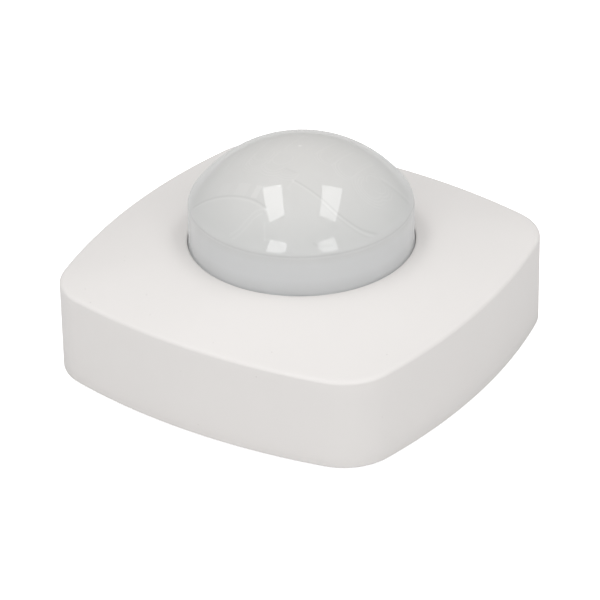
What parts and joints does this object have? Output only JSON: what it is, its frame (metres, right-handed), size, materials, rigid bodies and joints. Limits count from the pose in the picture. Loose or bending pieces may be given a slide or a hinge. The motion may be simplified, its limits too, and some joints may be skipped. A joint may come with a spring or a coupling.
{
  "type": "motion sensor",
  "caption": "Square white ceiling motion sensor: rounded-square cover with a crowned top, milky lens dome, and wiring base, boards, relay and dials inside.",
  "frame": {"origin": "centre of the back face of the mounting base, on the ceiling or wall plane", "axes": "+Z out of the lens, away from the ceiling; +X along the line of the two fixing slots; +Y towards the adjuster dials"},
  "size_m": [0.105, 0.105, 0.0569],
  "materials": {
    "cover_plastic": "fine matt texture, white",
    "lens_polyethylene": "milky, semi-gloss",
    "base_plastic": "matt, white",
    "housing_plastic": "satin, white",
    "white_plastic": "matt, white",
    "clamp_plastic": "matt, light grey",
    "grommet_rubber": "soft, dark grey",
    "zinc_steel": "bright zinc",
    "plated_iron": "nickel plated",
    "tinned_brass": "tinned",
    "contact_brass": "satin",
    "gold_pins": "bright",
    "copper_winding": "enamelled copper wire",
    "circuit_board": "green solder mask",
    "nylon": "natural nylon",
    "black_plastic": "satin, black",
    "chip_plastic": "moulded epoxy",
    "terminal_plastic": "satin, grey",
    "relay_plastic": "dark blue",
    "yellow_plastic": "yellow box",
    "capacitor_sleeve": "dark sleeve",
    "blue_ceramic": "epoxy dipped",
    "resistor_coating": "flameproof coating",
    "ferrite": "sintered",
    "blue_plastic": "blue",
    "dial_plastic": "orange",
    "filter_glass": "coated silicon",
    "sensor_resin": "dark clear resin",
    "red_lens": "diffused red"
  },
  "bodies": {
    "base": {"mounting_base": "base_plastic", "cable_grommet": "grommet_rubber", "cable_clamp_bar": "clamp_plastic", "cable_clamp_screws": "zinc_steel", "main_board": "circuit_board", "sensor_board": "circuit_board", "sensor_board_screws": "zinc_steel", "board_standoffs": "nylon", "board_header": "black_plastic", "header_pins": "gold_pins", "electronics_housing": "housing_plastic", "housing_screws": "zinc_steel", "terminal_block": "terminal_plastic", "terminal_plates": "tinned_brass", "dial_potentiometers": "blue_plastic", "relay_case": "relay_plastic", "relay_base": "black_plastic", "relay_coil": "copper_winding", "relay_yoke": "plated_iron", "relay_contacts": "contact_brass", "film_capacitor": "yellow_plastic", "electrolytic_capacitors": "capacitor_sleeve", "varistor": "blue_ceramic", "fusible_resistor": "resistor_coating", "bridge_rectifier": "black_plastic", "choke": "ferrite", "control_chip": "chip_plastic", "chip_components": "chip_plastic", "pir_spacer": "white_plastic", "pir_base": "plated_iron", "pir_can": "plated_iron", "pir_window": "filter_glass", "light_sensor": "sensor_resin", "indicator_led": "red_lens", "amplifier_chip": "chip_plastic", "sensor_shroud": "white_plastic", "lens_dome": "lens_polyethylene", "lens_ring": "housing_plastic", "lens_ring_screws": "zinc_steel"},
    "cover": {"front_cover": "cover_plastic"},
    "relay_armature": {"relay_armature": "plated_iron"},
    "sensitivity_dial": {"sensitivity_dial": "dial_plastic"},
    "time_dial": {"time_dial": "dial_plastic"},
    "light_level_dial": {"light_level_dial": "dial_plastic"},
    "terminal_screw_1": {"terminal_screw_1": "zinc_steel"},
    "terminal_cage_1": {"terminal_cage_1": "plated_iron"},
    "terminal_screw_2": {"terminal_screw_2": "zinc_steel"},
    "terminal_cage_2": {"terminal_cage_2": "plated_iron"},
    "terminal_screw_3": {"terminal_screw_3": "zinc_steel"},
    "terminal_cage_3": {"terminal_cage_3": "plated_iron"}
  },
  "joints": [
    {"name": "cover_pull", "type": "slide", "parent": "base", "child": "cover", "axis": [0, 0, 1], "range_m": [0, 0.06]},
    {"name": "sensitivity_dial_turn", "type": "hinge", "parent": "base", "child": "sensitivity_dial", "pos_m": [-0.013, 0.0414, 0.0176], "axis": [0, 0, -1], "range_deg": [0, 270]},
    {"name": "time_dial_turn", "type": "hinge", "parent": "base", "child": "time_dial", "pos_m": [0, 0.0414, 0.0176], "axis": [0, 0, -1], "range_deg": [0, 270]},
    {"name": "light_level_dial_turn", "type": "hinge", "parent": "base", "child": "light_level_dial", "pos_m": [0.013, 0.0414, 0.0176], "axis": [0, 0, -1], "range_deg": [0, 270]},
    {"name": "terminal_screw_1_turn", "type": "hinge", "parent": "base", "child": "terminal_screw_1", "pos_m": [0.01835, -0.0362, 0.0186], "axis": [0, 0, -1], "range_deg": [0, 1800]},
    {"name": "terminal_cage_1_lift", "type": "slide", "parent": "base", "child": "terminal_cage_1", "axis": [0, 0, 1], "range_m": [0, 0.0025]},
    {"name": "terminal_screw_2_turn", "type": "hinge", "parent": "base", "child": "terminal_screw_2", "pos_m": [0.02535, -0.0362, 0.0186], "axis": [0, 0, -1], "range_deg": [0, 1800]},
    {"name": "terminal_cage_2_lift", "type": "slide", "parent": "base", "child": "terminal_cage_2", "axis": [0, 0, 1], "range_m": [0, 0.0025]},
    {"name": "terminal_screw_3_turn", "type": "hinge", "parent": "base", "child": "terminal_screw_3", "pos_m": [0.03235, -0.0362, 0.0186], "axis": [0, 0, -1], "range_deg": [0, 1800]},
    {"name": "terminal_cage_3_lift", "type": "slide", "parent": "base", "child": "terminal_cage_3", "axis": [0, 0, 1], "range_m": [0, 0.0025]},
    {"name": "armature_rock", "type": "hinge", "parent": "base", "child": "relay_armature", "pos_m": [-0.0264, -0.0062, 0.0174], "axis": [1, 0, 0], "range_deg": [0, 4], "stiffness_Nm_per_rad": 0.002, "springref_deg": -2.86}
  ],
  "couplings": [
    {"joint": "terminal_screw_1_turn", "follows": "terminal_cage_1_lift", "rad_per_m": 12566},
    {"joint": "terminal_screw_2_turn", "follows": "terminal_cage_2_lift", "rad_per_m": 12566},
    {"joint": "terminal_screw_3_turn", "follows": "terminal_cage_3_lift", "rad_per_m": 12566}
  ]
}
